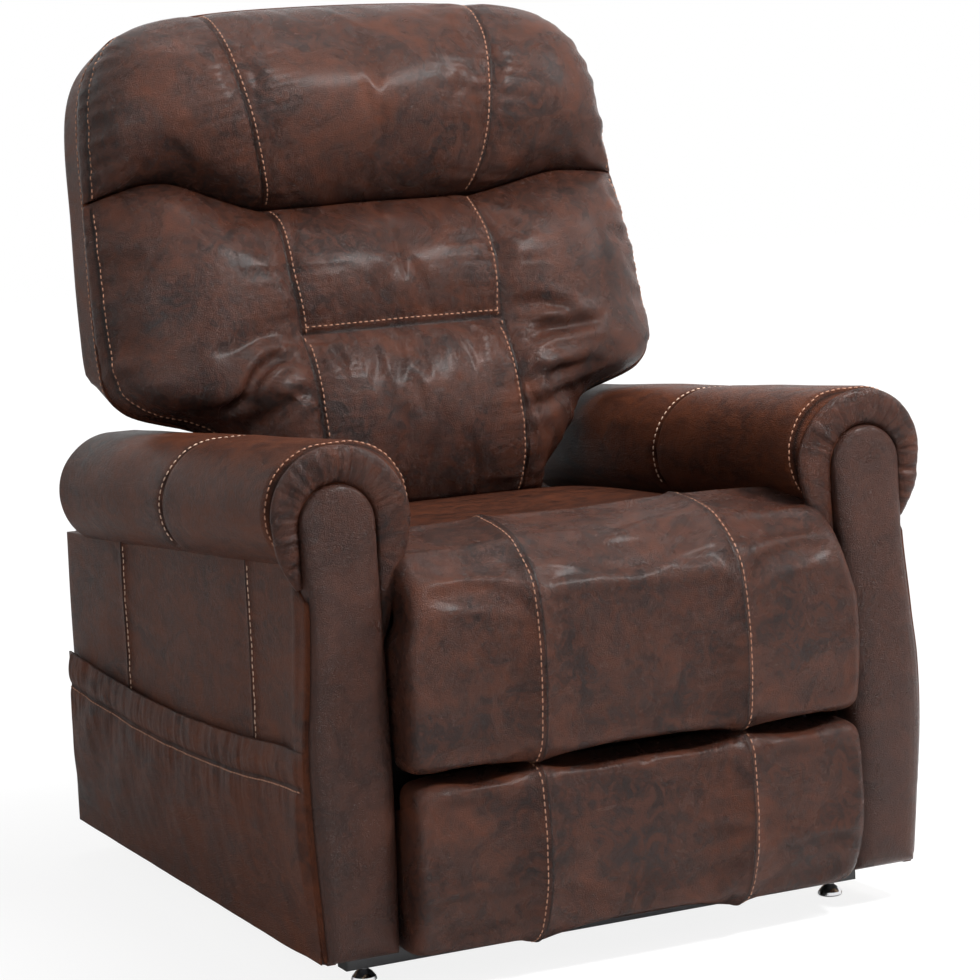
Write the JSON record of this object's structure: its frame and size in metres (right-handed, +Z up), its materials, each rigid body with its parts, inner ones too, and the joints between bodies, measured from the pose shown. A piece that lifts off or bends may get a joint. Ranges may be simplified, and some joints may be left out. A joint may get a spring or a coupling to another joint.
{
  "type": "lift recliner chair",
  "caption": "Powered lift recliner with rolled arms, pillow back, swing-out footrest, side pocket and a steel four-bar lift base.",
  "frame": {"origin": "centre of the chair on the floor, with the footrest in, the back up and the lift down", "axes": "+Z up, the sitter faces -Y, +X to the sitter's left"},
  "size_m": [0.85, 0.9093, 1.1098],
  "materials": {
    "leather": "satin",
    "padded_leather": "satin",
    "powder_coat": "satin",
    "bare_steel": "satin",
    "chrome": "gloss",
    "zinc": "satin",
    "timber": "matte",
    "nylon": "matte",
    "black_plastic": "matte"
  },
  "bodies": {
    "base": {"base_front_tube": "powder_coat", "base_rear_tube": "powder_coat", "base_side_rails": "powder_coat", "tube_end_caps": "black_plastic", "foot_glides": "chrome", "lift_pivot_brackets": "powder_coat", "lift_pivot_pins": "zinc", "lift_motor": "black_plastic"},
    "long_link": {"long_links": "bare_steel", "long_link_shaft": "bare_steel"},
    "short_link": {"short_links": "bare_steel", "short_link_shaft": "bare_steel"},
    "lift_rod": {"lift_rod": "zinc"},
    "chair": {"side_plates": "powder_coat", "cross_tubes": "powder_coat", "footrest_ears": "powder_coat", "arm_brackets": "powder_coat", "control_box": "black_plastic", "power_inlet": "black_plastic", "recline_motor": "black_plastic", "footrest_motor": "black_plastic", "front_lift_pins": "zinc", "back_shaft": "zinc", "seat_springs": "zinc", "shaft_bushes": "nylon", "seat_rails": "timber", "right_arm_frame": "timber", "left_arm_frame": "timber", "right_arm_outer": "leather", "right_arm_inner": "leather", "left_arm_outer": "leather", "left_arm_inner": "leather", "side_pocket": "leather", "rear_panel": "leather", "right_arm_front": "leather", "left_arm_front": "leather", "seat_cushion": "padded_leather", "right_arm_roll": "padded_leather", "left_arm_roll": "padded_leather"},
    "footrest": {"footrest_side_plates": "powder_coat", "footrest_board": "timber", "footrest_upper_pillow": "padded_leather", "footrest_lower_pillow": "padded_leather"},
    "footrest_crank": {"footrest_crank": "bare_steel"},
    "drag_link": {"drag_links": "bare_steel"},
    "footrest_rod": {"footrest_rod": "zinc"},
    "back": {"back_brackets": "powder_coat", "recline_lever": "powder_coat", "back_posts": "timber", "back_rails": "timber", "back_springs": "zinc", "back_cover": "leather", "headrest_cushion": "padded_leather", "lumbar_cushion": "padded_leather"},
    "recline_rod": {"recline_rod": "zinc"}
  },
  "joints": [
    {"name": "lift", "type": "hinge", "parent": "base", "child": "long_link", "pos_m": [0, -0.25, 0.12], "axis": [1, 0, 0], "range_deg": [0, 46]},
    {"name": "chair_tilt", "type": "hinge", "parent": "long_link", "child": "chair", "pos_m": [0, 0.17, 0.18], "axis": [1, 0, 0], "range_deg": [-22.1, 0]},
    {"name": "short_link_swing", "type": "hinge", "parent": "base", "child": "short_link", "pos_m": [0, -0.32, 0.08], "axis": [1, 0, 0], "range_deg": [0, 57.8]},
    {"name": "lift_rod_slide", "type": "slide", "parent": "base", "child": "lift_rod", "axis": [0, -0.9925, 0.1219], "range_m": [0, 0.0726]},
    {"name": "footrest_swing", "type": "hinge", "parent": "chair", "child": "footrest", "pos_m": [0, -0.372, 0.418], "axis": [-1, 0, 0], "range_deg": [0, 80]},
    {"name": "footrest_crank_turn", "type": "hinge", "parent": "chair", "child": "footrest_crank", "pos_m": [0, -0.235, 0.318], "axis": [-1, 0, 0], "range_deg": [0, 80.1]},
    {"name": "drag_link_pivot", "type": "hinge", "parent": "footrest", "child": "drag_link", "pos_m": [0, -0.33337, 0.29912], "axis": [-1, 0, 0], "range_deg": [-80.1, 0]},
    {"name": "footrest_rod_slide", "type": "slide", "parent": "chair", "child": "footrest_rod", "axis": [0, -1, 0], "range_m": [0, 0.0644]},
    {"name": "recline", "type": "hinge", "parent": "chair", "child": "back", "pos_m": [0, 0.26, 0.36], "axis": [-1, 0, 0], "range_deg": [0, 30]},
    {"name": "recline_rod_slide", "type": "slide", "parent": "chair", "child": "recline_rod", "axis": [0, -1, 0], "range_m": [0, 0.0622]}
  ],
  "couplings": [
    {"joint": "chair_tilt", "follows": "lift", "ratio": -0.47987},
    {"joint": "short_link_swing", "follows": "lift", "ratio": 1.2561},
    {"joint": "lift_rod_slide", "follows": "lift", "m_per_rad": 0.090265},
    {"joint": "footrest_crank_turn", "follows": "footrest_swing", "ratio": 1},
    {"joint": "drag_link_pivot", "follows": "footrest_swing", "ratio": -1},
    {"joint": "footrest_rod_slide", "follows": "footrest_swing", "m_per_rad": 0.046036},
    {"joint": "recline_rod_slide", "follows": "recline", "m_per_rad": 0.11863}
  ]
}
